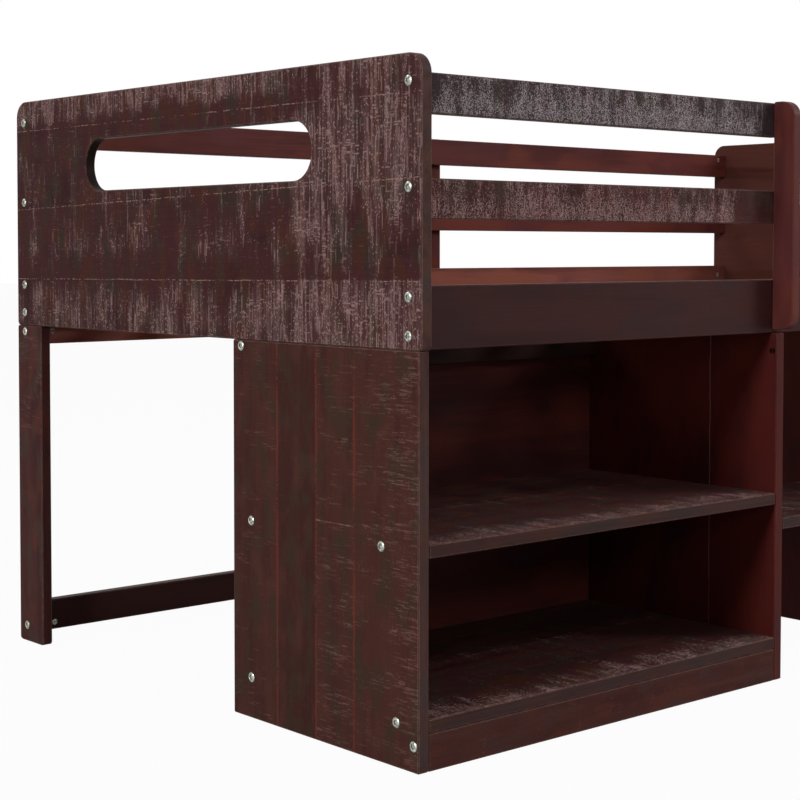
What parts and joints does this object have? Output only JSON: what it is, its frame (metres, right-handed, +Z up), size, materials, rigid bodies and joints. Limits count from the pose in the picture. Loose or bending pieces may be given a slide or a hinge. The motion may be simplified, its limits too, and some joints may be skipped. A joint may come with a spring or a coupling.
{
  "type": "low loft bed",
  "caption": "Low twin loft bed on open bookcases and rear legs, with guard rails, slotted end panels, a slatted deck and a step between the bookcases.",
  "frame": {"origin": "on the floor, in the middle of the bed's overall length and depth", "axes": "+X along the bed, +Y from the front with the bookcases to the rear, +Z up"},
  "size_m": [1.99, 1.094, 0.959],
  "materials": {
    "distressed_stain": "dark brown-red stain over rough-sawn planks, greyish saw marks across the grain",
    "smooth_stain": "smooth red-brown stain, satin",
    "back_board": "thin stained back board, matt",
    "plain_pine": "bare planed pine",
    "zinc_hardware": "zinc-plated bolt heads and barrel nuts, faint green cast"
  },
  "bodies": {
    "root": {"end_panel_left": "distressed_stain", "end_panel_right": "distressed_stain", "rear_leg_left": "distressed_stain", "rear_leg_right": "distressed_stain", "rear_stretcher": "distressed_stain", "side_rail_front": "smooth_stain", "side_rail_rear": "smooth_stain", "guard_rail_front_left_lower": "distressed_stain", "guard_rail_front_left_upper": "distressed_stain", "guard_rail_front_right_lower": "distressed_stain", "guard_rail_front_right_upper": "distressed_stain", "guard_rail_rear_lower": "smooth_stain", "guard_rail_rear_upper": "smooth_stain", "guard_stile_front_left": "smooth_stain", "guard_stile_front_right": "smooth_stain", "guard_stile_rear": "smooth_stain", "step_tread": "distressed_stain", "bookcase_left_outer_side": "distressed_stain", "bookcase_left_inner_side": "smooth_stain", "bookcase_left_kickboard": "distressed_stain", "bookcase_left_bottom_shelf": "distressed_stain", "bookcase_left_middle_shelf": "distressed_stain", "bookcase_left_back_rail": "smooth_stain", "bookcase_left_back_panel": "back_board", "bookcase_right_outer_side": "distressed_stain", "bookcase_right_inner_side": "smooth_stain", "bookcase_right_kickboard": "distressed_stain", "bookcase_right_bottom_shelf": "distressed_stain", "bookcase_right_middle_shelf": "distressed_stain", "bookcase_right_back_rail": "smooth_stain", "bookcase_right_back_panel": "back_board", "slat_cleat_front": "plain_pine", "slat_cleat_rear": "plain_pine", "slat_01": "plain_pine", "slat_02": "plain_pine", "slat_03": "plain_pine", "slat_04": "plain_pine", "slat_05": "plain_pine", "slat_06": "plain_pine", "slat_07": "plain_pine", "slat_08": "plain_pine", "slat_09": "plain_pine", "slat_10": "plain_pine", "slat_11": "plain_pine", "slat_12": "plain_pine", "slat_13": "plain_pine", "slat_14": "plain_pine", "end_panel_dowel_left_1": "plain_pine", "end_panel_dowel_left_2": "plain_pine", "end_panel_dowel_left_3": "plain_pine", "end_panel_dowel_left_4": "plain_pine", "end_panel_dowel_right_1": "plain_pine", "end_panel_dowel_right_2": "plain_pine", "end_panel_dowel_right_3": "plain_pine", "end_panel_dowel_right_4": "plain_pine", "tread_dowel_left_1": "plain_pine", "tread_dowel_left_2": "plain_pine", "tread_dowel_right_1": "plain_pine", "tread_dowel_right_2": "plain_pine"}
  },
  "joints": []
}
